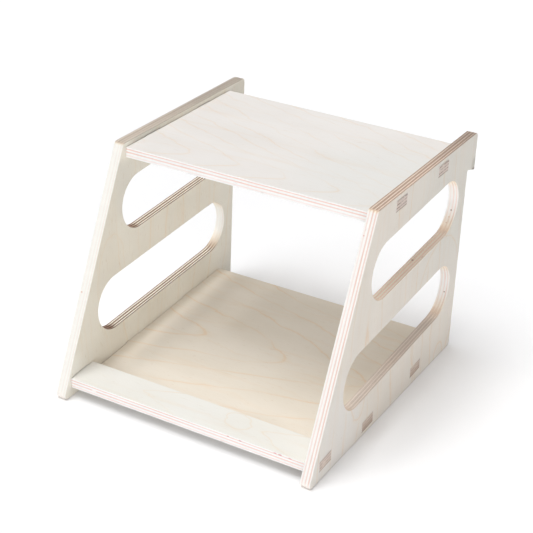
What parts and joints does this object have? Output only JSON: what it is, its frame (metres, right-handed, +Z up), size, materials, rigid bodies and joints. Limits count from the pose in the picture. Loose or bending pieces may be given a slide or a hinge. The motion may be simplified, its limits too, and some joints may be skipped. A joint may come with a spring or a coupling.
{
  "type": "french cleat charger holder",
  "caption": "Open plywood wall bracket with a tilted floor, a front lip and a flat top shelf, hung on a cleat rail by hooks in its sides, to hold a battery charger.",
  "frame": {"origin": "bottom centre of the bounding box, on the surface that the feet of the sides stand on", "axes": "+X across the holder, to the right seen from its front; +Y towards the wall; +Z up"},
  "size_m": [0.24, 0.2802, 0.201],
  "materials": {
    "birch_plywood": "sanded, with a clear matt finish"
  },
  "bodies": {
    "root": {"side_left": "birch_plywood", "side_right": "birch_plywood", "top_shelf": "birch_plywood", "floor_shelf": "birch_plywood", "front_lip": "birch_plywood"}
  },
  "joints": []
}
